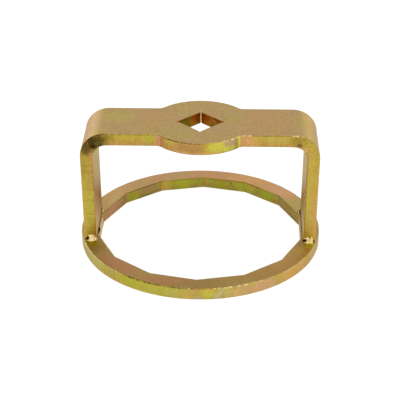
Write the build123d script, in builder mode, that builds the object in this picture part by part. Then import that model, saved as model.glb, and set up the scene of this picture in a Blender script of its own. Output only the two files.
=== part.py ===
from build123d import *
import math
import os

# Oil filter wrench: a flat ring socket that slips over the fluted end of a canister filter, and
# a steel strap bent into a bridge above it, whose round hub takes a square drive.
#
# Origin: centre of the ring's underside. +Z runs up the drive axis, and the bridge's legs stand
# on the ring at -X and +X.

# Driving dimensions, in millimetres and degrees.
flat_count = 14
across_flats = 84.0
ring_diameter = 100.0
plate_thickness = 5.0
flat_corner_radius = 1.0

overall_height = 53.2
strap_width = 25.4
leg_span = 96.4
leg_lean = 0.6
bend_inside_radius = 5.4
foot_bevel = 0.4

hub_diameter = 41.2
hub_blend_radius = 3.5
drive_square = 12.8
corner_relief_radius = 0.3

weld_reach = 2.2
weld_rise = 2.4
weld_crown = 0.35
weld_end_radius = 0.8
weld_outer_gap = 0.7

# Each weld bead's side of the tool, in X and in Y, and how far it runs past the leg's inner face.
weld_sites = {
    "weld_front_left": (-1, -1, 0.5),
    "weld_front_right": (1, -1, 0.5),
    "weld_rear_left": (-1, 1, 1.0),
    "weld_rear_right": (1, 1, 1.4),
}

# The strap's middle line turns at the bends, and its legs lean in towards the feet. It is drawn
# down to the ring's underside, and the legs are then cut off level with the ring's top.
ring_top = plate_thickness
bend_z = overall_height - plate_thickness / 2
bend_x = leg_span / 2 - plate_thickness / 2
lean_per_mm = math.tan(math.radians(leg_lean))
leg_end_x = bend_x - lean_per_mm * bend_z
foot_x = bend_x - lean_per_mm * (bend_z - ring_top)
foot_outer_x = foot_x + plate_thickness / 2
foot_inner_x = foot_x - plate_thickness / 2

os.makedirs("parts", exist_ok=True)


def save(builder, node_name):
    """Label a finished piece and write it as its node's STEP file."""
    builder.part.label = node_name
    export_step(builder.part, f"parts/{node_name}.step")


# Ring socket: a round plate with a fourteen-sided opening. Corners point along Y and flats face X,
# so each leg stands over the middle of a flat.
with BuildPart() as socket_ring:
    with BuildSketch():
        Circle(ring_diameter / 2)
    extrude(amount=plate_thickness)
    with BuildSketch() as opening:
        RegularPolygon(across_flats / 2, flat_count, major_radius=False, rotation=90)
        fillet(opening.vertices(), flat_corner_radius)
    extrude(amount=plate_thickness, mode=Mode.SUBTRACT)

save(socket_ring, "socket_ring")


# Drive yoke: one strap bent down at both ends, with a wider round hub in the middle of its top.
with BuildPart() as drive_yoke:
    with BuildSketch(Plane.XZ):
        with BuildLine():
            FilletPolyline(
                (-leg_end_x, 0),
                (-bend_x, bend_z),
                (bend_x, bend_z),
                (leg_end_x, 0),
                radius=bend_inside_radius + plate_thickness / 2,
            )
        trace(line_width=plate_thickness)
    extrude(amount=strap_width / 2, both=True)
    split(bisect_by=Plane.XY.offset(ring_top), keep=Keep.TOP)

    with BuildSketch(Plane.XY.offset(overall_height - plate_thickness)):
        Circle(hub_diameter / 2)
    extrude(amount=plate_thickness)
    hub_corners = drive_yoke.edges().filter_by(Axis.Z)
    fillet(hub_corners, hub_blend_radius)

    # Square drive hole, its corners along X and Y, each with the small round relief of the cut.
    with BuildSketch(Plane.XY.offset(overall_height - plate_thickness)):
        Rectangle(drive_square, drive_square, rotation=45)
        with PolarLocations(drive_square / math.sqrt(2), 4):
            Circle(corner_relief_radius)
    extrude(amount=plate_thickness, mode=Mode.SUBTRACT)

    foot_edges = drive_yoke.edges().filter_by(Axis.Y).group_by(Axis.Z)[0]
    inner_foot_edges = foot_edges.sort_by(lambda edge: abs(edge.center().X))[:2]
    chamfer(inner_foot_edges, foot_bevel)

save(drive_yoke, "drive_yoke")


# Weld beads: short convex fillets in the corner between each leg's cut edge and the ring's top.
for node_name, (side_x, side_y, overrun) in weld_sites.items():
    outer_end = foot_outer_x - weld_outer_gap
    inner_end = foot_inner_x - overrun
    bead_root = Plane(
        origin=(side_x * (outer_end + inner_end) / 2, side_y * strap_width / 2, ring_top),
        x_dir=(0, side_y, 0),
        z_dir=(side_y, 0, 0),
    )
    with BuildPart() as weld_bead:
        with BuildSketch(bead_root):
            with BuildLine():
                Polyline((0, weld_rise), (0, 0), (weld_reach, 0))
                SagittaArc((weld_reach, 0), (0, weld_rise), -weld_crown)
            make_face()
        extrude(amount=(outer_end - inner_end) / 2, both=True)
        fillet(weld_bead.edges().filter_by(GeomType.CIRCLE), weld_end_radius)
    save(weld_bead, node_name)
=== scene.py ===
import math

import bpy
import numpy as np
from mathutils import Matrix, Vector
from mathutils.geometry import delaunay_2d_cdt


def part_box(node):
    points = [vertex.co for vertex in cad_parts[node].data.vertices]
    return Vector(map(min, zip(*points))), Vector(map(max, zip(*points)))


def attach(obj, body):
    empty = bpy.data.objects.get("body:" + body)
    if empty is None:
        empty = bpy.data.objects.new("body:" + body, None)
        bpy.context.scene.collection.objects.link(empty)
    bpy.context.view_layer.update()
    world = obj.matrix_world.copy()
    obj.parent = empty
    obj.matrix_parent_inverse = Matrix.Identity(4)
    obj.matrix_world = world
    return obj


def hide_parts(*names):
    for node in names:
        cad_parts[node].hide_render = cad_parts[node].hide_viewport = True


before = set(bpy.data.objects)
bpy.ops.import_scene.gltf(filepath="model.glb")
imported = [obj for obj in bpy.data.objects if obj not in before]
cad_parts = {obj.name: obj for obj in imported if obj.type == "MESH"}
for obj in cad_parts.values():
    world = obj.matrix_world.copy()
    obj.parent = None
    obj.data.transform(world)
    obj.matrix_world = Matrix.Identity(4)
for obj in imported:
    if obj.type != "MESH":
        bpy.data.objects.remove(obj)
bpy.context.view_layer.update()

# An oil filter wrench in yellow-plated steel: a flat ring socket, a bridge bent from one laser-cut
# strap, and four weld beads. Both plates are cut as flat blanks with worked edges, and the bridge's
# blank is then bent. Lengths are in millimetres until a mesh is made.

MM = 0.001


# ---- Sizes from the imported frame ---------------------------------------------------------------

def box_mm(node):
    """Lowest and highest corner of a CAD node, in millimetres."""
    low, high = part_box(node)
    return np.array(low) / MM, np.array(high) / MM


ring_low, ring_high = box_mm("socket_ring")
yoke_low, yoke_high = box_mm("drive_yoke")
RING_RADIUS = (ring_high[0] - ring_low[0]) / 2
PLATE = ring_high[2] - ring_low[2]
RING_TOP = ring_high[2]
YOKE_TOP = yoke_high[2]
YOKE_HALF_SPAN = (yoke_high[0] - yoke_low[0]) / 2
HUB_RADIUS = (yoke_high[1] - yoke_low[1]) / 2
STRAP_HALF = -box_mm("weld_front_left")[1][1]

# ---- Sizes that the frame doesn't state --------------------------------------------------------

FLAT_COUNT = 14
ACROSS_FLATS = 84.0
FLAT_CORNER_RADIUS = 0.4
RING_TWIST = math.radians(-0.75)
BEND_INSIDE_RADIUS = 5.4
LEG_LEAN = math.radians(0.6)
HUB_BLEND_RADIUS = 3.5
DRIVE_SQUARE = 12.8
CORNER_RELIEF_RADIUS = 0.3
CORNER_RELIEF_SWEEP = math.radians(135)
FOOT_CORNER_RADIUS = 0.5

# The bend's middle surface, and the length of strap from the hub's centre to a foot.
BEND_RADIUS = BEND_INSIDE_RADIUS + PLATE / 2
BEND_TURN = math.pi / 2 + LEG_LEAN
BEND_START = YOKE_HALF_SPAN - BEND_INSIDE_RADIUS - PLATE
BEND_CENTRE_Z = YOKE_TOP - BEND_INSIDE_RADIUS - PLATE
BEND_END = BEND_START + BEND_RADIUS * BEND_TURN
LEG_LENGTH = (BEND_CENTRE_Z + BEND_RADIUS * math.cos(BEND_TURN) - RING_TOP) / math.sin(BEND_TURN)
BLANK_HALF = BEND_END + LEG_LENGTH

# ---- How a laser-cut edge is worked ------------------------------------------------------------

# How closely a cut is sampled, along it and down it, and the strip of face that borders it. Then how
# points that cross over are looked for at a corner, and the seeds of the outer and the inner cut.
SAMPLE_PITCH = 0.15
RELIEF_PITCH = 0.1
EDGE_STEPS = 3
WALL_STEPS = 8
EDGE_MARGIN = 0.7
CROSSING_SPARE = 8
CROSSING_SLACK = 1e-4
EDGE_SEEDS = (11, 21)

# The rounded rims, then the laser's grooves, the cut's slow waves and the nicks in its rims.
EDGE_RADIUS = 0.24
LINE_PITCH = 0.8
LINE_DEPTH = 0.045
LINE_TRAIL = 0.4
WAVE_DEPTH = 0.03
WAVE_LENGTH = 5.0
NICK_DEPTH = 0.10
NICK_LENGTH = 0.5
NICK_THRESHOLD = 0.25

# The points inside a face: their spacing, there and at a bend, and how far they keep from a cut.
FACE_GRID = 2.5
BEND_GRID = 0.7
GRID_CLEARANCE = 1.6 * EDGE_MARGIN
GRID_CHUNK = 400
HUB_GRID_ROWS = 18


# ---- Outlines ----------------------------------------------------------------------------------

def arc(centre, radius, start, end):
    """Closely spaced points along an arc, from one angle to another, in radians."""
    count = max(3, math.ceil(abs(end - start) * radius / 0.05))
    angles = np.linspace(start, end, count)
    return np.array(centre) + radius * np.stack([np.cos(angles), np.sin(angles)], axis=1)


def evenly_spaced(outline, pitch=SAMPLE_PITCH):
    """The same closed outline, as points evenly spaced along it."""
    closed = np.vstack([outline, outline[:1]])
    steps = np.hypot(*np.diff(closed, axis=0).T)
    along = np.concatenate([[0], np.cumsum(steps)])
    wanted = np.linspace(0, along[-1], round(along[-1] / pitch), endpoint=False)
    return np.stack([np.interp(wanted, along, closed[:, axis]) for axis in (0, 1)], axis=1)


def ring_outline():
    """The ring's outer edge. Runs anticlockwise."""
    return evenly_spaced(arc((0, 0), RING_RADIUS, 0, 2 * math.pi)[:-1])


def flats_outline():
    """The ring's opening: flats across X, corners along Y, each corner rounded. Runs clockwise."""
    half_turn = math.pi / FLAT_COUNT
    centre_distance = (ACROSS_FLATS / 2 - FLAT_CORNER_RADIUS) / math.cos(half_turn)
    corners = []
    for index in range(FLAT_COUNT):
        heading = math.pi / 2 + RING_TWIST + index * 2 * half_turn
        centre = centre_distance * np.array([math.cos(heading), math.sin(heading)])
        corners.append(arc(centre, FLAT_CORNER_RADIUS, heading - half_turn, heading + half_turn))
    return evenly_spaced(np.vstack(corners))[::-1]


def blank_outline():
    """The strap laid flat, with its round hub blended in. Runs anticlockwise."""
    blend_centre_y = STRAP_HALF + HUB_BLEND_RADIUS
    blend_centre_x = math.sqrt((HUB_RADIUS + HUB_BLEND_RADIUS) ** 2 - blend_centre_y ** 2)
    meet = math.atan2(blend_centre_y, blend_centre_x)
    foot = FOOT_CORNER_RADIUS
    foot_centre = (BLANK_HALF - foot, STRAP_HALF - foot)
    quarter = [
        arc(foot_centre, foot, 0, math.pi / 2),
        arc((blend_centre_x, blend_centre_y), HUB_BLEND_RADIUS, -math.pi / 2, meet - math.pi),
        arc((0, 0), HUB_RADIUS, meet, math.pi / 2)[:-1],
    ]
    rear_right = np.vstack(quarter)
    rear_left = rear_right[::-1] * (-1, 1)
    rear = np.vstack([rear_right, [(0, HUB_RADIUS)], rear_left])
    return evenly_spaced(np.vstack([rear, -rear]))


def square_outline():
    """The drive hole: a square on its corners, with a small round relief in each. Runs clockwise."""
    corner_distance = DRIVE_SQUARE / math.sqrt(2)
    reliefs = []
    for index in range(4):
        heading = index * math.pi / 2
        centre = corner_distance * np.array([math.cos(heading), math.sin(heading)])
        start, end = heading - CORNER_RELIEF_SWEEP, heading + CORNER_RELIEF_SWEEP
        reliefs.append(arc(centre, CORNER_RELIEF_RADIUS, start, end))
    return evenly_spaced(np.vstack(reliefs), RELIEF_PITCH)[::-1]


# ---- Cut edges ---------------------------------------------------------------------------------

def smooth(share):
    """A share from 0 to 1, eased at both ends."""
    share = np.clip(share, 0, 1)
    return share * share * (3 - 2 * share)


def wander(along, length, wavelength, seed):
    """Smooth random waves, between -1 and 1, along a closed cut."""
    count = max(4, round(length / wavelength))
    heights = np.random.default_rng(seed).uniform(-1, 1, count)
    place = along / length * count
    left = np.floor(place).astype(int)
    share = smooth(place - left)
    return heights[left % count] * (1 - share) + heights[(left + 1) % count] * share


def cutting_lines(along, length, depth, seed):
    """The laser's grooves, which stand side by side and trail back as they go down: how deep each
    point lies in its groove, and a tone from 0 to 1 that is the same all down a groove."""
    random = np.random.default_rng(seed)
    count = round(length / LINE_PITCH)
    starts = (np.arange(count) + random.uniform(0, 0.6, count)) * length / count
    groove_depths = LINE_DEPTH * random.uniform(0.35, 1.0, count)
    tones = random.uniform(0, 1, count)
    edges = np.append(starts, starts[0] + length)
    place = (along + LINE_TRAIL * (depth / PLATE) ** 2) % length
    place = np.where(place < starts[0], place + length, place)
    groove = np.clip(np.searchsorted(edges, place, side="right") - 1, 0, count - 1)
    share = (place - edges[groove]) / (edges[groove + 1] - edges[groove])
    profile = 1 - (2 * share - 1) ** 2
    return groove_depths[groove] * profile, 0.5 * profile + 0.5 * tones[groove]


def edge_rows():
    """(inset from the cut line, depth below the upper face, wear, rim) for each row down a cut."""
    corner = []
    for angle in np.linspace(0, math.pi / 2, EDGE_STEPS + 1):
        inset = EDGE_RADIUS * (1 - math.sin(angle))
        corner.append((inset, EDGE_RADIUS * (1 - math.cos(angle)), math.sin(2 * angle), 1))
    wall = np.linspace(EDGE_RADIUS, PLATE - EDGE_RADIUS, WALL_STEPS + 1)[1:-1]
    lower = [(inset, PLATE - depth, wear, rim) for inset, depth, wear, rim in reversed(corner)]
    return (
        [(EDGE_MARGIN, 0, 0, 0)]
        + corner
        + [(0, depth, 0, 0) for depth in wall]
        + lower
        + [(EDGE_MARGIN, PLATE, 0, 0)]
    )


def set_in(outline, outward, inset):
    """The outline moved into the metal. Where a corner's points would cross over, they are spread
    between the nearest points that don't."""
    moved = outline - outward * inset
    crossed = np.zeros(len(outline), bool)
    for shift in range(1, math.ceil(3 * inset / SAMPLE_PITCH) + CROSSING_SPARE):
        for other in (np.roll(outline, shift, axis=0), np.roll(outline, -shift, axis=0)):
            crossed |= np.hypot(*(moved - other).T) < inset - CROSSING_SLACK
    kept = np.flatnonzero(~crossed)
    index = np.arange(len(outline))
    spread = [np.interp(index, kept, moved[kept, axis], period=len(outline)) for axis in (0, 1)]
    return np.stack(spread, axis=1)


def worked_edge(outline, seed):
    """The rows of points down one cut edge, as arrays of (u, v, depth, rim, streak)."""
    ahead = np.roll(outline, -1, axis=0) - np.roll(outline, 1, axis=0)
    ahead /= np.hypot(*ahead.T)[:, None]
    outward = np.stack([ahead[:, 1], -ahead[:, 0]], axis=1)
    steps = np.hypot(*(np.roll(outline, -1, axis=0) - outline).T)
    along = np.cumsum(steps) - steps
    length = steps.sum()
    waves = WAVE_DEPTH * wander(along, length, WAVE_LENGTH, seed)
    bites = wander(along, length, NICK_LENGTH, seed + 1) - NICK_THRESHOLD
    nicks = NICK_DEPTH * np.clip(bites, 0, 1)
    rows = []
    for inset, depth, wear, rim in edge_rows():
        on_wall = smooth((EDGE_RADIUS - inset) / EDGE_RADIUS)
        groove, streak = cutting_lines(along, length, depth, seed + 2)
        bite = on_wall * (groove - waves) + wear * nicks
        points = set_in(outline, outward, inset) - outward * bite[:, None]
        sink = wear * nicks * (1 if depth < PLATE / 2 else -1)
        rows.append(np.column_stack([points, depth + sink, np.full(len(points), rim), streak]))
    return rows


# ---- Plates ------------------------------------------------------------------------------------

def inner_grid(outline, hole, u_values, v_values):
    """Grid points well inside the plate's outline and clear of its hole."""
    u, v = np.meshgrid(u_values, v_values)
    points = np.stack([u.ravel(), v.ravel()], axis=1)
    keep = inside(points, outline) & ~inside(points, hole)
    for edge in (outline, hole):
        sparse = edge[::4]
        for start in range(0, len(points), GRID_CHUNK):
            part = slice(start, start + GRID_CHUNK)
            gaps = points[part, None, :] - sparse[None, :, :]
            keep[part] &= (gaps ** 2).sum(axis=2).min(axis=1) > GRID_CLEARANCE ** 2
    return points[keep]


def inside(points, outline):
    """Which points lie inside a closed outline, by counting its crossings."""
    following = np.roll(outline, -1, axis=0)
    crossings = np.zeros(len(points), int)
    for (x0, y0), (x1, y1) in zip(outline, following):
        if y0 == y1:
            continue
        spans = (y0 <= points[:, 1]) != (y1 <= points[:, 1])
        crossing_x = x0 + (points[:, 1] - y0) * (x1 - x0) / (y1 - y0)
        crossings += spans & (crossing_x > points[:, 0])
    return crossings % 2 == 1


def plate_mesh(name, node, outline, hole, grid, place):
    """A plate cut to an outline with one hole, set in place by place(u, v, w), within its CAD node's
    box. Material 0 is on both faces, 1 on the outer cut edge and 2 on the hole's edge. The mesh
    stores whether each point is on a rim, its groove's tone and how far down the plate it lies."""
    points, faces, materials = [], [], []
    margins = []
    total = 0
    for order, edge in enumerate([outline, hole]):
        rows = worked_edge(edge, EDGE_SEEDS[order])
        count = len(edge)
        ids = total + np.arange(len(rows) * count).reshape(len(rows), count)
        points.extend(rows)
        total += len(rows) * count
        following = np.roll(ids, -1, axis=1)
        quads = np.stack([ids[:-1], ids[1:], following[1:], following[:-1]], axis=2)
        faces.extend(quads.reshape(-1, 4).tolist())
        row_material = np.full(len(rows) - 1, 1 + order)
        row_material[[0, -1]] = 0
        materials.extend(np.repeat(row_material, count).tolist())
        margins.append((ids[0], ids[-1]))
    upper_ids = np.concatenate([upper for upper, _ in margins] + [total + np.arange(len(grid))])
    total += len(grid)
    lower_ids = np.concatenate([lower for _, lower in margins] + [total + np.arange(len(grid))])
    for depth in (0, PLATE):
        points.append(np.column_stack([grid, np.full(len(grid), depth), np.zeros((len(grid), 2))]))
    cloud = np.vstack(points)

    flat = [Vector((u, v)) for u, v in cloud[upper_ids, :2]]
    rims, start = [], 0
    for upper, _ in margins:
        loop = start + np.arange(len(upper))
        rims.extend(zip(loop.tolist(), np.roll(loop, -1).tolist()))
        start += len(upper)
    _, _, triangles, origins, _, _ = delaunay_2d_cdt(flat, rims, [], 1, 1e-6)
    triangles = np.array([origin[0] for origin in origins])[np.array(triangles)]
    centres = cloud[upper_ids[triangles], :2].mean(axis=1)
    triangles = triangles[~inside(centres, cloud[margins[1][0], :2])]
    faces.extend(upper_ids[triangles].tolist())
    faces.extend(lower_ids[triangles[:, ::-1]].tolist())
    materials.extend([0] * (2 * len(triangles)))

    placed = np.clip(place(cloud[:, 0], cloud[:, 1], PLATE / 2 - cloud[:, 2]), *box_mm(node))
    mesh = bpy.data.meshes.new(name)
    mesh.from_pydata((placed * MM).tolist(), [], faces)
    mesh.polygons.foreach_set("material_index", materials)
    mesh.shade_smooth()
    store(mesh, "rim", cloud[:, 3])
    store(mesh, "streak", cloud[:, 4])
    store(mesh, "down", np.clip(cloud[:, 2] / PLATE, 0, 1))
    return mesh


def store(mesh, name, values):
    """Gives a mesh one number for each of its points, for its materials to read."""
    attribute = mesh.attributes.new(name, "FLOAT", "POINT")
    attribute.data.foreach_set("value", np.asarray(values, np.float32))


def lay_flat(u, v, w):
    """Sets the flat blank down with its underside at height 0."""
    return np.stack([u, v, PLATE / 2 + w], axis=1)


# How the strap's edges move at a bend: out, by most at the squeezed inside, and up at the stretched
# outside. Then how far in from the edge, and how far past the bend, that fades.
BULGE = 0.42
BULGE_EVEN_SHARE = 0.25
CURL = 0.10
STRAIN_DEPTH = 2.2
STRAIN_OVERRUN = 2
STRAIN_FADE = 6

# The gap under each foot's inner edge and how far up the leg it reaches, and the left foot's hollow.
SEAM_RISE = 0.1
SEAM_REACH = 0.8
SEAM_FADE = 0.6
HOLLOW_RISE = 1.0
HOLLOW_PLACE = -4.9
HOLLOW_REACH = 1.8


def bend_strap(u, v, w):
    """Folds the flat blank down at both bends. The squeezed metal inside each bend bulges out at
    the strap's edges, and the stretched metal outside it draws in and curls up. The feet stand just
    clear of the ring at their inner edges, with a hollow in the left one."""
    side = np.sign(u)
    run = np.abs(u)
    turned = np.clip(run - BEND_START, 0, BEND_RADIUS * BEND_TURN) / BEND_RADIUS
    past = np.maximum(run - BEND_END, 0)
    strain = smooth((run - BEND_START + STRAIN_OVERRUN) / STRAIN_FADE)
    strain = strain * smooth((BEND_END + STRAIN_OVERRUN - run) / STRAIN_FADE)
    near_edge = np.exp(-(STRAP_HALF - np.abs(v)) / STRAIN_DEPTH)
    squeeze = -w / (PLATE / 2)
    outward = BULGE_EVEN_SHARE + (1 - BULGE_EVEN_SHARE) * squeeze
    v = v + np.sign(v) * BULGE * strain * near_edge * outward
    w = w + CURL * strain * near_edge * (squeeze < 0)
    hollow = (side < 0) * HOLLOW_RISE * np.exp(-((v - HOLLOW_PLACE) / HOLLOW_REACH) ** 2)
    at_foot = smooth((run - BLANK_HALF + SEAM_REACH) / SEAM_FADE)
    past = past - (SEAM_RISE + hollow) * smooth(squeeze) * at_foot
    radius = BEND_RADIUS + w
    x = np.minimum(run, BEND_START) + radius * np.sin(turned) + past * math.cos(BEND_TURN)
    z = BEND_CENTRE_Z + radius * np.cos(turned) - past * math.sin(BEND_TURN)
    return np.stack([side * x, v, np.maximum(z, RING_TOP)], axis=1)


# ---- Weld beads --------------------------------------------------------------------------------

# For each bead, from its outer end to its inner end: how full it is at points along it, where its
# crater lies and how wide that is, both as shares of its length, and the crater's depth. The rear
# beads' inner ends wrap round the corners of their legs, each by its own distance.
BEADS = {
    "weld_front_left": {
        "fullness": [
            (0, 0), (0.06, 0.8), (0.2, 0.85), (0.4, 1.0), (0.65, 0.85), (0.88, 0.5), (1, 0),
        ],
        "crater": (0.12, 0.13, 0.45),
        "seed": 3,
    },
    "weld_front_right": {
        "fullness": [
            (0, 0), (0.05, 0.92), (0.2, 1.0), (0.38, 0.72), (0.53, 1.0), (0.7, 0.75), (0.86, 0.7),
            (1, 0),
        ],
        "crater": (0.84, 0.2, 0.45),
        "seed": 8,
    },
    "weld_rear_left": {
        "fullness": [
            (0, 0), (0.08, 0.8), (0.35, 0.9), (0.6, 1.0), (0.8, 0.6), (0.92, 0.5), (1, 0),
        ],
        "crater": (0.2, 0.1, 0.4),
        "wrap": 1.5,
        "seed": 15,
    },
    "weld_rear_right": {
        "fullness": [(0, 0), (0.1, 0.75), (0.35, 1.0), (0.7, 0.85), (0.93, 0.62), (1, 0)],
        "crater": (0.97, 0.05, 0.5),
        "wrap": 0.4,
        "seed": 21,
    },
}
BEAD_LENGTH_STEPS = 120
BEAD_ROUND_STEPS = 40
BEAD_SINK = 0.08
BEAD_SQUARENESS = 1.35
BEAD_SMOOTHING = 13
BEAD_END_SHARE = 1 / 14
RIPPLE_PITCH = 0.8
RIPPLE_DEPTH = 0.13
RIPPLE_LAG = 0.45
LUMP_HEIGHTS = (0.02, 0.05)
LUMP_LENGTH_WAVES = 7
LUMP_ROUND_WAVES = 2

# Where a rear bead starts to wrap round its leg's corner, and over how much of its length.
WRAP_START = 0.78
WRAP_SHARE = 0.1

# How high round the bead a crater lies, and how far round it reaches, in radians.
PIT_TURN = 0.8
PIT_SPREAD = 0.55


def weld_mesh(name, node, shape):
    """One fillet bead: a rippled convex lump in the corner between a leg's cut edge and the ring."""
    low, high = box_mm(node)
    side_x, side_y = np.sign((low + high)[:2])
    reach, rise = high[1] - low[1], high[2] - low[2]
    outer_end, inner_end = sorted(abs(v) for v in (low[0], high[0]))[::-1]
    length = outer_end - inner_end
    lengthwise = np.linspace(0, 1, BEAD_LENGTH_STEPS)
    crosswise = np.linspace(0, math.pi / 2, BEAD_ROUND_STEPS)
    along, angle = np.meshgrid(lengthwise, crosswise, indexing="ij")
    kernel = np.hanning(BEAD_SMOOTHING)
    full = np.interp(lengthwise, *np.transpose(shape["fullness"]))
    full = np.pad(full, BEAD_SMOOTHING // 2, mode="reflect", reflect_type="odd")
    full = np.clip(np.convolve(full, kernel / kernel.sum(), mode="valid"), 0, 1)
    ends = smooth(lengthwise / BEAD_END_SHARE) ** 0.5 * smooth((1 - lengthwise) / BEAD_END_SHARE) ** 0.5
    envelope = (full * ends)[:, None]

    wrapped = smooth((along - WRAP_START) / WRAP_SHARE) if "wrap" in shape else 0
    turn = angle * (1 + wrapped)
    power = BEAD_SQUARENESS
    flatness = (np.abs(np.cos(turn)) / reach) ** power + (np.sin(turn) / rise) ** power
    section = flatness ** (-1 / power)
    crown = np.sin(2 * angle)
    phase = along * length / RIPPLE_PITCH - RIPPLE_LAG * crown
    random = np.random.default_rng(shape["seed"])
    ripples = np.abs(np.sin(math.pi * phase + random.uniform(0, 1)))
    lumps = 0
    for wave in (1, 2, 3):
        height, start = random.uniform(*LUMP_HEIGHTS), random.uniform(0, 6)
        lengthways = np.sin(wave * along * LUMP_LENGTH_WAVES + start)
        lumps = lumps + height * lengthways * np.sin(wave * angle * LUMP_ROUND_WAVES + wave)
    centre, spread, depth = shape["crater"]
    pit = np.exp(-(((along - centre) / spread) ** 2) - ((angle - PIT_TURN) / PIT_SPREAD) ** 2)
    relief = (lumps - RIPPLE_DEPTH * (1 - ripples)) * crown
    radius = np.maximum((section * (1 - depth * pit) + relief) * envelope, 0)

    out = radius * np.cos(turn) - BEAD_SINK
    up = radius * np.sin(turn) - BEAD_SINK
    x = side_x * (outer_end - along * length)
    y = side_y * (STRAP_HALF + out - shape.get("wrap", 0) * wrapped)
    z = RING_TOP + up
    skin = np.stack([x, y, z], axis=2).reshape(-1, 3)
    root = (side_y * (STRAP_HALF - BEAD_SINK), RING_TOP - BEAD_SINK)
    spine = np.column_stack([x[:, 0], np.tile(root, (len(x), 1))])
    ids = np.arange(len(skin)).reshape(x.shape)
    backbone = len(skin) + np.arange(len(spine))
    quads = np.stack([ids[:-1, :-1], ids[1:, :-1], ids[1:, 1:], ids[:-1, 1:]], axis=2)
    faces = quads.reshape(-1, 4).tolist()
    for edge in (ids[:, 0], ids[:, -1]):
        faces.extend(np.stack([edge[:-1], edge[1:], backbone[1:], backbone[:-1]], axis=1).tolist())
    mesh = bpy.data.meshes.new(name)
    mesh.from_pydata((np.vstack([skin, spine]) * MM).tolist(), [], faces)
    mesh.shade_smooth()
    store(mesh, "pit", np.concatenate([pit.ravel(), np.zeros(len(spine))]))
    return mesh


# ---- Finishes ----------------------------------------------------------------------------------

def colour(red, green, blue):
    """A display colour, 0 to 255, as the linear colour that a shader takes."""
    def linear(value):
        value /= 255
        return value / 12.92 if value <= 0.04045 else ((value + 0.055) / 1.055) ** 2.4
    return (linear(red), linear(green), linear(blue), 1.0)


TAN = colour(180, 152, 109)
KHAKI = colour(178, 157, 98)
PINK = colour(192, 146, 108)
BROWN = colour(150, 118, 70)
UMBER = colour(128, 92, 48)
YELLOW = colour(184, 162, 64)
GOLD = colour(186, 154, 66)
OLIVE = colour(168, 154, 58)
MOSS = colour(120, 114, 34)
LIME = colour(182, 173, 62)
ORANGE = colour(184, 144, 76)
AMBER = colour(190, 128, 52)
ROSE = colour(188, 138, 102)
# This near black is the weld craters' soot and the dark burrs along the rims. It is also painted shade
# in the hollow under the left foot, and painted dark reflection at the left bend.
SOOT_AND_SHADE = colour(26, 18, 6)
# A painted dark reflection for the left bend's cut edge.
DARK_BEND_REFLECTION = colour(88, 70, 26)
TEAL = colour(106, 102, 66)
RUST = colour(134, 82, 22)
CREAM = colour(249, 228, 170)
GLEAM = colour(232, 206, 156)
WELD_GOLD = colour(214, 184, 110)
WELD_OLIVE = colour(160, 132, 60)
EDGE_TINT = colour(238, 222, 196)

# Where a patch's border lies, as a share of its reach, and how far it usually fades either side.
BORDER = 0.75
SOFT = 0.5


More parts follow.
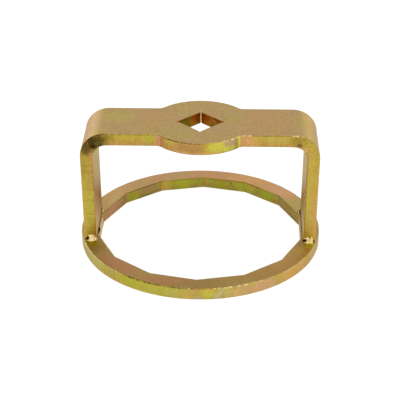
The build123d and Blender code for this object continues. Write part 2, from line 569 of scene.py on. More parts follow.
class Finish:
    """A material's node tree under construction, with points measured in millimetres."""

    def __init__(self, name):
        self.material = bpy.data.materials.new(name)
        self.material.use_nodes = True
        self.nodes = self.material.node_tree.nodes
        self.links = self.material.node_tree.links
        self.surface = self.nodes["Principled BSDF"]
        scaled = self.node("ShaderNodeVectorMath", operation="SCALE")
        scaled.inputs["Scale"].default_value = 1 / MM
        self.link(self.node("ShaderNodeTexCoord").outputs["Object"], scaled.inputs[0])
        self.point = scaled.outputs["Vector"]
        self.ragged = self.noise(2.6, detail=3.0, shift=9.0)

    def node(self, kind, **settings):
        made = self.nodes.new(kind)
        for setting, value in settings.items():
            setattr(made, setting, value)
        return made

    def link(self, source, target):
        self.links.new(source, target)

    def feed(self, socket, value):
        """Joins a socket to another, or sets its number or colour."""
        if isinstance(value, bpy.types.NodeSocket):
            self.link(value, socket)
        else:
            socket.default_value = value

    def maths(self, operation, first, second):
        made = self.node("ShaderNodeMath", operation=operation)
        self.feed(made.inputs[0], first)
        self.feed(made.inputs[1], second)
        return made.outputs[0]

    def noise(self, size, detail=2.0, rough=0.5, shift=0.0):
        """Noise from 0 to 1 whose features are about size millimetres across."""
        mapping = self.node("ShaderNodeMapping")
        self.link(self.point, mapping.inputs["Vector"])
        mapping.inputs["Scale"].default_value = [1 / size] * 3
        mapping.inputs["Location"].default_value = (shift, shift * 0.7, shift * 1.3)
        made = self.node("ShaderNodeTexNoise")
        self.link(mapping.outputs["Vector"], made.inputs["Vector"])
        made.inputs["Scale"].default_value = 1.0
        made.inputs["Detail"].default_value = detail
        made.inputs["Roughness"].default_value = rough
        return made.outputs["Fac"]

    def remap(self, value, low, high, to_low=0.0, to_high=1.0):
        made = self.node("ShaderNodeMapRange", interpolation_type="SMOOTHSTEP")
        self.feed(made.inputs["Value"], value)
        made.inputs["From Min"].default_value = low
        made.inputs["From Max"].default_value = high
        made.inputs["To Min"].default_value = to_low
        made.inputs["To Max"].default_value = to_high
        return made.outputs["Result"]

    def mix(self, share, first, second):
        made = self.node("ShaderNodeMix", data_type="RGBA")
        self.feed(made.inputs["Factor"], share)
        self.feed(made.inputs[6], first)
        self.feed(made.inputs[7], second)
        return made.outputs[2]

    def attribute(self, name):
        return self.node("ShaderNodeAttribute", attribute_name=name).outputs["Fac"]

    def near(self, centre, reach, softness):
        """1 at a place, fading to 0 about its reach along X, Y and Z, with a ragged border."""
        away = self.node("ShaderNodeVectorMath", operation="SUBTRACT")
        self.link(self.point, away.inputs[0])
        away.inputs[1].default_value = centre
        shrunk = self.node("ShaderNodeVectorMath", operation="DIVIDE")
        self.link(away.outputs["Vector"], shrunk.inputs[0])
        shrunk.inputs[1].default_value = reach if isinstance(reach, tuple) else (reach,) * 3
        length = self.node("ShaderNodeVectorMath", operation="LENGTH")
        self.link(shrunk.outputs["Vector"], length.inputs[0])
        wobble = self.maths("MULTIPLY", self.maths("SUBTRACT", self.ragged, 0.5), 2.4 * softness)
        away = self.maths("ADD", length.outputs["Value"], wobble)
        return self.remap(away, BORDER + softness, BORDER - softness)

    def patches(self, base, places, only=None):
        """Lays patches of colour over a base, each (colour, strength, centre, reach, softness)."""
        for tint, strength, centre, reach, *softness in places:
            share = self.maths("MULTIPLY", self.near(centre, reach, *(softness or [SOFT])), strength)
            if only is not None:
                share = self.maths("MULTIPLY", share, only)
            base = self.mix(share, base, tint)
        return base

    def shade(self, tone, value):
        """A colour made lighter or darker."""
        made = self.node("ShaderNodeHueSaturation")
        self.link(value, made.inputs["Value"])
        self.link(tone, made.inputs["Color"])
        return made.outputs["Color"]

    def bump(self, height, strength, distance, under=None):
        made = self.node("ShaderNodeBump")
        made.inputs["Strength"].default_value = strength
        made.inputs["Distance"].default_value = distance * MM
        self.link(height, made.inputs["Height"])
        if under is not None:
            self.link(under, made.inputs["Normal"])
        return made.outputs["Normal"]

    def finish(self, base, roughness, normal):
        self.surface.inputs["Metallic"].default_value = 1.0
        self.surface.inputs["Specular Tint"].default_value = EDGE_TINT
        self.link(base, self.surface.inputs["Base Color"])
        self.feed(self.surface.inputs["Roughness"], roughness)
        self.link(normal, self.surface.inputs["Normal"])
        return self.material


def rolled_face(name, base, second, places, lines, glints):
    """The plate's rolled surface: satin and finely pitted, clouded with a second tint."""
    look = Finish(name)
    clouds = look.remap(look.noise(13, detail=3.0), 0.40, 0.62, 0.0, 0.6)
    tone = look.mix(clouds, base, second)
    tone = look.patches(tone, places)
    grain = look.noise(0.42, detail=3.0, rough=0.7)
    mottle = look.noise(1.8, detail=3.0, shift=4.0)
    grain_value = look.remap(grain, 0.3, 0.7, 0.76, 1.24)
    mottle_value = look.remap(mottle, 0.3, 0.7, 0.95, 1.05)
    tone = look.shade(tone, look.maths("MULTIPLY", grain_value, mottle_value))
    tone = rim_marks(look, tone, lines, glints)
    roughness = look.remap(mottle, 0.3, 0.7, 0.34, 0.44)
    normal = look.bump(grain, 0.3, 0.03)
    normal = look.bump(look.noise(1.6, detail=2.0, shift=7.0), 0.2, 0.05, normal)
    return look.finish(tone, roughness, normal)


def rim_marks(look, tone, lines, glints):
    """Broken dark lines and paler flecks along a plate's rims. The paler flecks, and the pale colours
    among the lines, are painted glints.
    """
    rim = look.remap(look.attribute("rim"), 0.55, 0.95)
    breaks = look.noise(0.9, detail=2.0, rough=0.6, shift=3.0)
    tone = look.patches(tone, lines, look.maths("MULTIPLY", rim, look.remap(breaks, 0.34, 0.58)))
    return look.patches(tone, glints, look.maths("MULTIPLY", rim, look.remap(breaks, 0.52, 0.42)))


def cut_edge(
    name, base, second, lower, lower_share, streaks, places, lines, glints,
    pits=(), facets=None, calm=(),
):
    """A laser-cut edge: grooves across the plate, which are fainter in the calm places and strongest
    low down, stronger colour than the rolled faces have, and another tint lower down."""
    look = Finish(name)
    clouds = look.remap(look.noise(6, detail=3.0, shift=13.0), 0.42, 0.60, 0.0, 0.9)
    tone = look.mix(clouds, base, second)
    if facets is not None:
        tone = look.mix(look.attribute("facet"), tone, facets)
    sway = look.maths("MULTIPLY", look.maths("SUBTRACT", look.noise(5, shift=21.0), 0.5), 0.7)
    down = look.remap(look.maths("ADD", look.attribute("down"), sway), 0.35, 0.75, 0.0, lower_share)
    tone = look.mix(down, tone, lower)
    tone = look.patches(tone, places)
    speckle = look.noise(0.5, detail=3.0, rough=0.7)
    pitted = look.remap(look.noise(0.5, detail=2.0, shift=17.0), 0.50, 0.60)
    tone = look.patches(tone, pits, pitted)
    spread = look.noise(11, detail=1.0, shift=31.0)
    strength = look.remap(spread, 0.38, 0.6, 1.2 * streaks, 2.7 * streaks)
    deeper = look.remap(look.attribute("down"), 0.1, 0.9, 0.8, 1.7)
    strength = look.maths("MULTIPLY", strength, deeper)
    for centre, reach, share in calm:
        quiet = look.maths("MULTIPLY", look.near(centre, reach, SOFT), share)
        strength = look.maths("MULTIPLY", strength, look.maths("SUBTRACT", 1.0, quiet))
    stripes = look.maths("MULTIPLY", look.maths("SUBTRACT", 0.5, look.attribute("streak")), strength)
    stripe_value = look.maths("ADD", 1.0, stripes)
    speckle_value = look.remap(speckle, 0.3, 0.7, 0.86, 1.14)
    tone = look.shade(tone, look.maths("MULTIPLY", stripe_value, speckle_value))
    tone = rim_marks(look, tone, lines, glints)
    roughness = look.remap(look.noise(1.4, detail=3.0, shift=5.0), 0.3, 0.7, 0.32, 0.44)
    normal = look.bump(speckle, 0.35, 0.04)
    return look.finish(tone, roughness, normal)


def weld_metal(name):
    """Bright rippled weld metal with a dark crater."""
    look = Finish(name)
    tone = look.mix(look.remap(look.noise(0.9, detail=2.0), 0.35, 0.7), CREAM, WELD_GOLD)
    specks = look.remap(look.noise(0.5, detail=2.0, shift=6.0), 0.60, 0.70)
    tone = look.mix(specks, tone, WELD_OLIVE)
    pit = look.attribute("pit")
    tone = look.mix(look.remap(pit, 0.12, 0.35), tone, RUST)
    tone = look.mix(look.remap(pit, 0.35, 0.7), tone, SOOT_AND_SHADE)
    roughness = look.remap(pit, 0.1, 0.6, 0.16, 0.6)
    normal = look.bump(look.noise(0.35, detail=2.0), 0.5, 0.06)
    return look.finish(tone, roughness, normal)


# ---- The pieces --------------------------------------------------------------------------------

def add_piece(name, mesh, node, materials):
    """Puts a mesh in the scene as the piece that stands in for a CAD node."""
    piece = bpy.data.objects.new(name, mesh)
    bpy.context.scene.collection.objects.link(piece)
    for material in materials:
        mesh.materials.append(material)
    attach(piece, "root")
    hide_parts(node)


def around(bearing, radius, z):
    """A point at a bearing from -Y towards +X, in degrees, and at a radius and height."""
    angle = math.radians(bearing)
    return (radius * math.sin(angle), -radius * math.cos(angle), z)


# Patches of colour, mostly the plating's own, with painted light and shade marked where they stand:
# (colour, strength, centre, reach along X, Y and Z, softness of border).
RING_FACE = [
    (PINK, 0.85, (0, 46, 5), (46, 14, 3)),
    (TAN, 0.8, (-12, 46, 5), (8, 6, 3)),
    (colour(206, 160, 108), 0.8, (22, 41, 5), (13, 7, 3)),
    (colour(206, 156, 118), 0.85, (35, 31, 5), (11, 10, 3)),
    (KHAKI, 0.8, (41.5, 18.5, 5), (4, 7, 3)),
    (colour(196, 152, 112), 0.8, (-38, 31, 5), (9, 12, 3)),
    (colour(188, 164, 106), 0.8, (-37, 20, 5), (4, 10, 3)),
    (colour(164, 142, 80), 0.8, (-42.5, -20, 5), (5, 5, 3)),
    (colour(172, 166, 42), 0.92, (-44.8, -16, 5), (4.4, 3.2, 3), 0.35),
    (ROSE, 0.8, (-32, -33, 5), (15, 10, 3)),
    (colour(187, 141, 100), 0.8, (-15, -43.8, 5), (13, 5, 3)),
    (colour(171, 145, 94), 0.8, (1, -45.5, 5), (8, 4.5, 3)),
    (colour(178, 142, 84), 0.7, (28, -37, 5), (16, 10, 3)),
    (colour(194, 150, 94), 0.7, (36, -27, 5), (8, 9, 3)),
    (colour(200, 168, 86), 0.75, (42, -21, 5), (6, 5, 3)),
    (colour(206, 204, 66), 0.92, (46, -16, 5), (4.0, 3.0, 3), 0.35),
    # Painted shade: dark lines on the ring's face, in the gap under each foot's inner edge.
    (colour(84, 72, 34), 0.8, (-42.75, 2, 5), (0.3, 12, 1), 0.2),
    (colour(70, 60, 26), 0.85, (42.75, 2, 5), (0.35, 12, 1), 0.2),
    # Painted shade: near-black patches on the ring's face, in the hollow under the left foot.
    (SOOT_AND_SHADE, 1.0, (-42.2, -5.0, 5), (1.3, 2.4, 1), 0.2),
    (SOOT_AND_SHADE, 1.0, (-42.5, -7.2, 5), (0.5, 1.8, 1), 0.2),
]
RING_LINES = [
    (SOOT_AND_SHADE, 0.85, around(-27.5, RING_RADIUS, 5), (11.5, 11.5, 3)),
    # Painted glints: the GLEAM lines on the ring's front rims.
    (GLEAM, 0.6, around(-42, RING_RADIUS, 5), (6, 6, 3)),
    (SOOT_AND_SHADE, 0.7, around(-9, RING_RADIUS, 5), (9, 9, 3)),
    (GLEAM, 0.8, around(-62, RING_RADIUS, 5), (14, 14, 3)),
    (UMBER, 0.6, around(150, RING_RADIUS, 5), (12, 12, 3)),
    (SOOT_AND_SHADE, 0.6, around(214, RING_RADIUS, 5), (11, 11, 3)),
    (colour(170, 84, 40), 0.7, around(3, RING_RADIUS, 5), (5, 3, 3)),
    (UMBER, 0.7, (-27, 32.5, 5), (9, 7, 2)),
    (UMBER, 0.5, (-10, 41, 5), (9, 4, 2)),
    (colour(150, 70, 24), 0.75, (16, 38, 5), (17, 8, 2)),
]
# Painted glints: pale flecks along the ring's rims.
RING_GLINTS = [
    (CREAM, 0.9, around(20, RING_RADIUS, 5), (13, 13, 3)),
    (GLEAM, 0.6, around(48, RING_RADIUS, 5), (14, 14, 3)),
    (CREAM, 0.6, around(-3.5, RING_RADIUS, 5), 1.2),
    (CREAM, 0.7, around(176, RING_RADIUS, 5), (12, 8, 3)),
    (GLEAM, 0.6, around(244, RING_RADIUS, 5), (12, 12, 3)),
]
RING_EDGE = [
    (colour(170, 163, 108), 0.9, around(-72, RING_RADIUS, 2), 13),
    (colour(177, 172, 100), 0.85, around(-57, RING_RADIUS, 2), 9),
    (colour(172, 159, 79), 0.8, around(-45, RING_RADIUS, 2), 8),
    (colour(172, 167, 58), 0.85, around(-33, RING_RADIUS, 3), 8),
    (colour(176, 168, 68), 0.8, around(-20, RING_RADIUS, 3), 9),
    (colour(176, 172, 80), 0.8, around(-11, RING_RADIUS, 2.4), 4),
    (colour(188, 162, 82), 0.85, around(-5, RING_RADIUS, 2.4), (3.4, 4, 4)),
    (colour(188, 152, 84), 0.8, around(-1, RING_RADIUS, 3.6), (3, 4, 2)),
    (colour(178, 165, 118), 0.7, around(0, RING_RADIUS, 0.8), (2.2, 4, 1.2), 0.3),
    (colour(188, 180, 72), 0.85, around(4.4, RING_RADIUS, 2.6), (3.0, 4, 3)),
    (colour(186, 172, 126), 0.7, around(9.2, RING_RADIUS, 1.2), (2.2, 4, 1.8)),
    (colour(186, 172, 126), 0.7, around(10.8, RING_RADIUS, 3.4), (1.7, 4, 1.9)),
    (colour(187, 172, 102), 0.8, around(13.8, RING_RADIUS, 2.6), (2.2, 4, 5)),
    (colour(196, 161, 101), 0.85, around(20, RING_RADIUS, 2.2), (5, 5, 5)),
    (colour(199, 157, 112), 0.9, around(31, RING_RADIUS, 2.2), (9, 8, 5)),
    (colour(200, 161, 92), 0.85, around(45, RING_RADIUS, 2.4), (5, 6, 5)),
    (colour(198, 156, 101), 0.85, around(55, RING_RADIUS, 2.8), (6, 8, 5)),
    (colour(188, 159, 118), 0.85, around(68, RING_RADIUS, 2.6), (5, 8, 6)),
    (colour(183, 157, 120), 0.8, around(80, RING_RADIUS, 3), (5, 10, 6)),
    (colour(190, 146, 94), 0.7, around(-48, RING_RADIUS, 0.3), (22, 18, 0.9), 0.3),
    (CREAM, 0.22, around(17, RING_RADIUS, 1.8), (0.4, 2, 1.3), 0.25),
    # The rear half.
    (colour(196, 154, 104), 0.85, around(112, RING_RADIUS, 2.6), (9, 10, 5)),
    (colour(176, 172, 70), 0.85, around(134, RING_RADIUS, 3), (9, 9, 4)),
    (colour(194, 150, 104), 0.85, around(156, RING_RADIUS, 2.2), (9, 8, 4)),
    (colour(186, 172, 126), 0.7, around(172, RING_RADIUS, 3), (3, 5, 3)),
    (colour(190, 182, 74), 0.85, around(186, RING_RADIUS, 2.8), (7, 6, 4)),
    (colour(184, 160, 84), 0.8, around(205, RING_RADIUS, 2), (8, 7, 4)),
    (colour(200, 156, 112), 0.85, around(228, RING_RADIUS, 2.6), (9, 9, 4)),
    (colour(178, 168, 78), 0.8, around(252, RING_RADIUS, 3), (9, 10, 5)),
]
RING_FLATS = [
    (colour(172, 126, 94), 0.9, (-38.6, 16.5, 2.2), (4.8, 9.5, 3.8)),
    (colour(192, 144, 102), 0.7, (-40.6, 10, 2.4), (1.6, 2.8, 4)),
    (colour(146, 112, 70), 0.8, (-34.2, 25.6, 3), (1.4, 2.6, 4), 0.25),
    (colour(146, 142, 38), 0.9, (-30.6, 29.4, 1.9), (3.8, 4, 2.6)),
    (colour(150, 118, 74), 0.85, (-24, 34.6, 3.6), (5.5, 5, 2.2)),
    (colour(108, 104, 24), 0.7, (-25, 33.5, 0.3), (6, 5, 1), 0.3),
    (UMBER, 0.6, (-19.0, 38.7, 3), (0.35, 0.6, 6), 0.3),
    (colour(180, 150, 62), 0.75, (-16.6, 39.4, 2.8), (3.2, 2.6, 4)),
    (colour(152, 152, 40), 0.85, (-9, 41, 2.6), (6, 3, 3.4)),
    (colour(145, 134, 54), 0.8, (-1.2, 42.7, 3), (1.6, 1.5, 5), 0.25),
    (colour(160, 128, 54), 0.7, (1.6, 42.7, 2.7), (1.5, 1.2, 5)),
    (colour(143, 135, 36), 0.85, (8.5, 41.3, 2.6), (5, 3, 3)),
    (colour(152, 149, 46), 0.9, (17, 39.2, 2.8), (3.2, 2.8, 4)),
    (RUST, 0.9, (13, 40, 3.4), (0.7, 2, 1), 0.3),
    (colour(153, 148, 50), 0.85, (21.2, 37, 3), (3, 3, 4)),
    (colour(190, 119, 48), 0.6, (23.5, 35, 4.4), (0.7, 0.7, 0.9), 0.3),
    (colour(138, 144, 40), 0.9, (28, 31.2, 2.6), (4, 4, 3.6)),
    (colour(156, 116, 50), 0.8, (32.3, 27.6, 0.9), (1.6, 1.8, 1.3), 0.3),
    (colour(136, 132, 70), 0.7, (34.4, 25.5, 3), (1, 2, 4), 0.3),
    (colour(137, 119, 60), 0.9, (37.8, 18, 3), (4, 7, 4)),
    (colour(106, 106, 30), 0.75, (39.5, 15, 0.5), (3.5, 6, 1.3), 0.3),
    (colour(200, 184, 136), 0.9, (-42, 1.0, 3), (1.5, 8.5, 6), 0.3),
    (colour(206, 166, 126), 0.85, (-42, -7.8, 2), (1.5, 2.8, 4), 0.3),
    (colour(170, 146, 106), 0.8, (42, 0, 3), (1.5, 12, 6), 0.3),
    # Painted shade: a near-black patch on the flats' rim, under the left foot's hollow.
    (SOOT_AND_SHADE, 1.0, (-42.2, -4.8, 5), (1.2, 2.0, 1.6), 0.2),
]

YOKE_FACE = [
    (colour(179, 153, 124), 0.85, (-45, 2, 50), (5, 15, 6)),
    (colour(180, 164, 100), 0.8, (-33, 3.5, 53), (9, 7, 4)),
    (colour(180, 165, 92), 0.6, (-40, -9.6, 52.5), (4, 4, 3)),
    (colour(176, 158, 96), 0.7, (-10, -14, 53), (12, 5, 4)),
    (colour(174, 158, 94), 0.6, (12, 3, 53), (6, 5, 4)),
    (PINK, 0.4, (27, 0, 53), (12, 14, 4)),
    (PINK, 0.35, (-20, 3, 53), (10, 10, 4)),
    (colour(175, 151, 112), 0.75, (46.2, -4, 48.5), (4, 14, 6)),
    (colour(172, 158, 86), 0.6, (42.4, 1.5, 51.8), (3.8, 8, 4)),
    (colour(168, 156, 88), 0.85, (-42.7, 0, 36), (2, 14, 12)),
    (colour(178, 140, 100), 0.85, (-42.4, 0, 14), (2, 14, 14)),
    (colour(150, 118, 70), 0.6, (-42.6, 8, 20), (2, 6, 10)),
    (colour(170, 150, 90), 0.8, (42.7, 0, 36), (2, 14, 12)),
    (colour(152, 128, 74), 0.85, (42.4, 0, 14), (2, 14, 14)),
]
YOKE_LINES = [
    (SOOT_AND_SHADE, 0.8, (-9, -18, 53), (13, 6, 2)),
    (SOOT_AND_SHADE, 0.9, (-43, -12.7, 51), (7, 2, 5)),
    # Painted highlight: the pink line down the left leg's outer rim.
    (colour(204, 158, 118), 0.8, (-48, -12.7, 24), (2, 2, 22)),
    (UMBER, 0.35, (-43, -12.7, 24), (2, 2, 16)),
    (UMBER, 0.8, (42.9, -12.7, 28), (1.6, 2, 24)),
    (UMBER, 0.7, (-25, 12.7, 53), (16, 2, 2)),
    (SOOT_AND_SHADE, 0.6, (9, 18, 53), (12, 6, 2)),
    (UMBER, 0.6, (-47.6, 12.7, 26), (2, 2, 18)),
    (UMBER, 0.7, (28, -12.7, 53), (12, 2, 2)),
    (UMBER, 0.7, (-28, -12.7, 53), (14, 2, 2)),
    (UMBER, 0.85, (0, 0, 53), (12, 12, 2)),
]
# Painted glints: pale flecks along the strap's rims.
YOKE_GLINTS = [
    (CREAM, 0.9, (12, -16, 53), (7, 5, 2)),
    (CREAM, 0.8, (18.5, -12.7, 53), (2.6, 2, 2)),
    (CREAM, 0.8, (39.5, -12.7, 53), (4, 2, 2)),
    (CREAM, 0.6, (42, -12.7, 47.5), (1.5, 2, 1.5)),
    (CREAM, 0.8, (-13, 16, 53), (7, 5, 2)),
    (GLEAM, 0.7, (47.8, 12.7, 30), (2, 2, 14)),
]
YOKE_EDGE = [
    # The left arm, then the hub from left to right, then the right arm.
    (LIME, 0.85, (-19.9, -12.7, 51.3), (2.4, 2, 2.2)),
    (colour(196, 141, 102), 0.95, (-16.0, -13.2, 51), (2.3, 2.6, 7), 0.2),
    (colour(204, 154, 88), 0.85, (-14.4, -14.6, 51), (1.0, 1.4, 7), 0.3),
    (colour(186, 147, 76), 0.85, around(-37, HUB_RADIUS, 51), (5, 4, 5)),
    (colour(196, 174, 78), 0.6, around(-34, HUB_RADIUS, 52), (3.6, 4, 1.5)),
    (colour(177, 134, 78), 0.9, around(-12, HUB_RADIUS, 51), (9, 4, 5)),
    (colour(206, 160, 104), 0.6, around(-20, HUB_RADIUS, 48.5), (12, 6, 1.1), 0.4),
    (colour(202, 192, 76), 0.95, around(20, HUB_RADIUS, 51.3), (5.8, 4, 3.2), 0.35),
    (colour(198, 192, 76), 0.9, around(36, HUB_RADIUS, 49.8), (4.4, 4, 1.8), 0.35),
    (colour(206, 170, 92), 0.7, around(12, HUB_RADIUS, 48.6), (5.5, 4, 1.0), 0.35),
    (colour(181, 155, 114), 0.9, around(38.5, HUB_RADIUS, 52.2), (4.6, 4.4, 2.7), 0.3),
    (colour(216, 206, 92), 0.9, (15.4, -13.3, 51), (0.95, 1.8, 6), 0.25),
    (colour(200, 147, 97), 0.85, (18.7, -12.7, 50.6), (3.0, 2, 5), 0.35),
    (colour(204, 163, 90), 0.8, (21.6, -12.7, 50.4), (2.5, 2, 5)),
    (colour(187, 164, 80), 0.8, (30, -12.7, 51.7), (9, 2, 2.6)),
    # The left bend. Its dark patches are painted dark reflection.
    (DARK_BEND_REFLECTION, 0.97, (-43.4, -12.7, 49.4), (5.2, 3, 4.6)),
    (DARK_BEND_REFLECTION, 0.8, (-39.2, -12.7, 51), (4.4, 3, 3.2), 0.7),
    (colour(95, 75, 33), 0.85, (-46.2, -12.7, 46.8), (2.6, 2, 4)),
    (SOOT_AND_SHADE, 0.3, (-43.0, -12.7, 49.4), (3.4, 2, 2.4)),
    (colour(70, 42, 10), 0.95, (-42.9, -12.7, 47.8), (1.5, 2, 1.3), 0.3),
    (TEAL, 0.55, (-40.9, -12.7, 49.2), (1.3, 2, 0.9), 0.4),
    (colour(91, 78, 32), 0.85, (-39.5, -12.7, 48.8), (1.2, 2, 1.0), 0.35),
    (colour(198, 146, 76), 0.6, (-43.2, -12.7, 41.0), (1.2, 2, 5)),
    # The right bend. Its two darker patches are painted dark reflection, fainter than at the left bend.
    (colour(152, 129, 54), 0.75, (38.9, -12.7, 50.8), (3.4, 2, 2.8)),
    (colour(176, 154, 62), 0.7, (43, -12.7, 50), (3, 2, 3)),
    (colour(182, 149, 74), 0.75, (46.6, -12.7, 46), (1.8, 2, 4)),
    (colour(216, 172, 116), 0.7, (42.1, -12.7, 47.1), (1.0, 2, 1.6)),
    (colour(124, 88, 50), 0.9, (39.7, -12.7, 49.1), (1.3, 2, 0.9), 0.5),
    # The left leg, then the right leg.
    (colour(163, 144, 57), 0.85, (-47.2, -12.7, 38.5), (2.2, 2, 6.5), 0.4),
    (colour(180, 166, 67), 0.85, (-45.2, -12.7, 21), (3.4, 2, 13)),
    (colour(188, 150, 54), 0.8, (-43.9, -12.7, 8.8), (2.2, 2, 3.6)),
    (colour(188, 166, 73), 0.9, (44.2, -12.7, 27), (2.4, 2, 27)),
    (colour(194, 153, 86), 0.85, (47.1, -12.7, 18), (2.2, 2, 20)),
    (colour(195, 158, 62), 0.8, (44.9, -12.7, 8.0), (3.6, 2, 1.8), 0.4),
    # The rear: the arms and hub, the bends, then the legs.
    (colour(200, 156, 92), 0.85, (-30, 12.7, 50.6), (7, 2, 4)),
    (LIME, 0.8, (-20.5, 12.7, 51), (3, 2, 3)),
    (colour(198, 146, 104), 0.9, (-16, 13.2, 51), (2, 2.4, 7), 0.25),
    (colour(198, 188, 76), 0.85, around(214, HUB_RADIUS, 51), (6, 4, 4)),
    (colour(184, 142, 84), 0.85, around(176, HUB_RADIUS, 50.4), (9, 4, 5)),
    (colour(189, 164, 120), 0.8, around(150, HUB_RADIUS, 52), (4, 4, 2.6)),
    (colour(206, 196, 88), 0.85, (15.6, 13.2, 51), (1.2, 2, 6), 0.3),
    (colour(202, 154, 92), 0.8, (24, 12.7, 50.4), (6, 2, 4)),
    (colour(104, 84, 34), 0.8, (43.6, 12.7, 49), (4.6, 3, 4)),
    (colour(132, 110, 44), 0.7, (-43.2, 12.7, 49.6), (4, 3, 3.4)),
    (colour(188, 176, 70), 0.85, (45, 12.7, 24), (3.4, 2, 14)),
    (colour(194, 152, 84), 0.8, (-46.6, 12.7, 20), (2.6, 2, 18)),
    (colour(186, 172, 68), 0.8, (-44, 12.7, 34), (2.4, 2, 12)),
]
YOKE_PITS = [
    (colour(96, 74, 24), 0.4, (40.6, -12.7, 50), (5.5, 2, 4)),
    (colour(44, 32, 8), 0.35, (-42, -12.7, 49), (6, 2, 5)),
    (colour(120, 92, 34), 0.2, (-28, -12.7, 50), (14, 2, 3)),
    (colour(130, 106, 36), 0.25, (-45.4, -12.7, 34), (3, 2, 12)),
    (colour(150, 100, 46), 0.25, (-6, -20, 50.6), (14, 6, 3)),
]

# Where the strap's grooves are fainter: (centre, reach along X, Y and Z, by what share).
YOKE_CALM = [
    ((46, -12.7, 24), (7, 4, 30), 1.0),
    ((0, -19, 50.6), (20, 9, 8), 0.6),
    ((22, -12.7, 50.6), (10, 4, 8), 0.4),
]

SQUARE_WALL = [
    (colour(136, 124, 28), 0.9, (-6.2, 2.9, 51.3), (3.8, 4.0, 4.2)),
    (colour(180, 116, 26), 0.85, (-2.4, 6.8, 50.6), (2.4, 3, 3.4)),
    (colour(194, 116, 26), 0.85, (2.6, 6.6, 51), (2.6, 3, 3.4)),
    (colour(132, 116, 26), 0.8, (5.4, 3.8, 49.4), (2.2, 2.4, 2)),
    (colour(168, 96, 32), 0.7, (7.8, 1.5, 51.5), (1.6, 3, 3)),
    # Painted highlight: the pale line down the wall of the rear corner's relief.
    (CREAM, 1.0, (0, 9.3, 50.7), (0.7, 1.0, 6), 0.3),
]

# How brown each of the ring's flats is, from green at 0 to brown at 1, anticlockwise from +Y.
FLAT_TONES = [0.1, 0.5, 0.9, 0.3, 0.2, 0.6, 0.4, 0.3, 0.7, 0.2, 0.5, 0.85, 0.15, 0.2]


def flat_tone(u, v):
    """The tone of the flat nearest each point."""
    heading = np.arctan2(v, u) - math.pi / 2 - RING_TWIST
    index = np.floor(heading / (2 * math.pi) * FLAT_COUNT).astype(int) % FLAT_COUNT
    return np.array(FLAT_TONES)[index]


def make_ring():
    outline, opening = ring_outline(), flats_outline()
    span = np.arange(-RING_RADIUS, RING_RADIUS, FACE_GRID)
    grid = inner_grid(outline, opening, span, span)
    mesh = plate_mesh("socket_ring_plate", "socket_ring", outline, opening, grid, lay_flat)
    where = np.array([vertex.co[:2] for vertex in mesh.vertices])
    store(mesh, "facet", flat_tone(where[:, 0], where[:, 1]))
    face = rolled_face(
        "plated_ring_face", colour(178, 154, 98), colour(176, 146, 94),
        RING_FACE, RING_LINES, RING_GLINTS,
    )
    edge = cut_edge(
        "plated_ring_edge", YELLOW, OLIVE, ORANGE, 0.4, 0.05, RING_EDGE, RING_LINES, RING_GLINTS
    )
    # The bore's base colours are darker and greener than the outer edge's: painted shade of the ring's
    # opening, with each flat's own tone mixed in.
    bore = cut_edge(
        "plated_ring_flats", colour(150, 144, 48), colour(142, 138, 52), UMBER, 0.4, 0.04,
        RING_FLATS, RING_LINES, [], facets=BROWN,
    )
    add_piece("socket_ring_plate", mesh, "socket_ring", [face, edge, bore])


def make_yoke():
    outline, square = blank_outline(), square_outline()
    flat = np.arange(0, BEND_START - 1, FACE_GRID)
    bend = np.arange(BEND_START - 1, BEND_END + 1, BEND_GRID)
    leg = np.arange(BEND_END + 1, BLANK_HALF, FACE_GRID)
    run = np.concatenate([flat, bend, leg])
    u_values = np.concatenate([-run[:0:-1], run])
    v_values = np.linspace(-HUB_RADIUS, HUB_RADIUS, HUB_GRID_ROWS)
    grid = inner_grid(outline, square, u_values, v_values)
    mesh = plate_mesh("drive_yoke_plate", "drive_yoke", outline, square, grid, bend_strap)
    face = rolled_face("plated_yoke_face", TAN, KHAKI, YOKE_FACE, YOKE_LINES, YOKE_GLINTS)
    edge = cut_edge(
        "plated_yoke_edge", YELLOW, GOLD, ORANGE, 0.8, 0.12, YOKE_EDGE, YOKE_LINES, YOKE_GLINTS,
        pits=YOKE_PITS, calm=YOKE_CALM,
    )
    wall = cut_edge("plated_square_wall", RUST, AMBER, MOSS, 0.3, 0.05, SQUARE_WALL, YOKE_LINES, [])
    add_piece("drive_yoke_plate", mesh, "drive_yoke", [face, edge, wall])


def make_welds():
    metal = weld_metal("plated_weld")
    for node, shape in BEADS.items():
        name = f"{node}_bead"
        add_piece(name, weld_mesh(name, node, shape), node, [metal])


# ---- Floor, light and camera -------------------------------------------------------------------

# In metres. The floor lies just below the ring's underside and glows, so that it stays pale.
FLOOR_HALF = 4.0
FLOOR_DROP = 0.00002
FLOOR_GREY = 0.2
FLOOR_GLOW = 0.9
STUDIO_GLOW = 0.95
LIGHT_AIM = Vector((0, 0, 0.02))

CAMERA_AZIMUTH = math.radians(1.32)
CAMERA_ELEVATION = math.radians(28.78)
CAMERA_DISTANCE = 0.5338
CAMERA_TARGET = Vector((-0.00019, 0.0, 0.01697))
CAMERA_LENS = 114.8


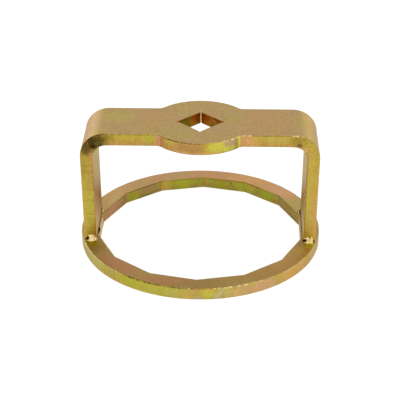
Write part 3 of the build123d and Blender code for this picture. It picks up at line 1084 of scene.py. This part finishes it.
def make_floor():
    mesh = bpy.data.meshes.new("floor")
    corners = [(-1, -1), (1, -1), (1, 1), (-1, 1)]
    points = [(x * FLOOR_HALF, y * FLOOR_HALF, -FLOOR_DROP) for x, y in corners]
    mesh.from_pydata(points, [], [(0, 1, 2, 3)])
    floor = bpy.data.objects.new("floor", mesh)
    bpy.context.scene.collection.objects.link(floor)
    material = bpy.data.materials.new("pale_floor")
    material.use_nodes = True
    surface = material.node_tree.nodes["Principled BSDF"]
    surface.inputs["Base Color"].default_value = (FLOOR_GREY, FLOOR_GREY, FLOOR_GREY, 1)
    surface.inputs["Roughness"].default_value = 0.9
    surface.inputs["Specular IOR Level"].default_value = 0.0
    surface.inputs["Emission Color"].default_value = (1, 1, 1, 1)
    surface.inputs["Emission Strength"].default_value = FLOOR_GLOW
    mesh.materials.append(material)


def add_softbox(name, place, size, power):
    """A rectangular lamp at a place, turned towards the tool."""
    light = bpy.data.lights.new(name, "AREA")
    light.shape = "RECTANGLE"
    light.size, light.size_y = size
    light.energy = power
    lamp = bpy.data.objects.new(name, light)
    bpy.context.scene.collection.objects.link(lamp)
    lamp.location = place
    lamp.rotation_euler = (LIGHT_AIM - Vector(place)).to_track_quat("-Z", "Y").to_euler()


def make_light():
    world = bpy.data.worlds.new("studio")
    world.use_nodes = True
    background = world.node_tree.nodes["Background"]
    background.inputs["Color"].default_value = (1, 1, 1, 1)
    background.inputs["Strength"].default_value = STUDIO_GLOW
    bpy.context.scene.world = world
    add_softbox("softbox_top", (0, -0.1, 1.5), (1.2, 1.2), 3.0)
    add_softbox("softbox_left", (-1.0, 1.4, 0.35), (0.9, 0.7), 1.6)
    add_softbox("softbox_right", (1.0, 1.4, 0.35), (0.9, 0.7), 1.2)
    bpy.context.scene.view_settings.view_transform = "Standard"


def make_camera():
    data = bpy.data.cameras.new("camera")
    data.lens = CAMERA_LENS
    camera = bpy.data.objects.new("camera", data)
    bpy.context.scene.collection.objects.link(camera)
    level = math.cos(CAMERA_ELEVATION)
    back = Vector((
        math.sin(CAMERA_AZIMUTH) * level,
        -math.cos(CAMERA_AZIMUTH) * level,
        math.sin(CAMERA_ELEVATION),
    ))
    camera.location = CAMERA_TARGET + back * CAMERA_DISTANCE
    camera.rotation_euler = (-back).to_track_quat("-Z", "Y").to_euler()
    bpy.context.scene.camera = camera


make_ring()
make_yoke()
make_welds()
make_floor()
make_light()
make_camera()

bpy.context.view_layer.update()
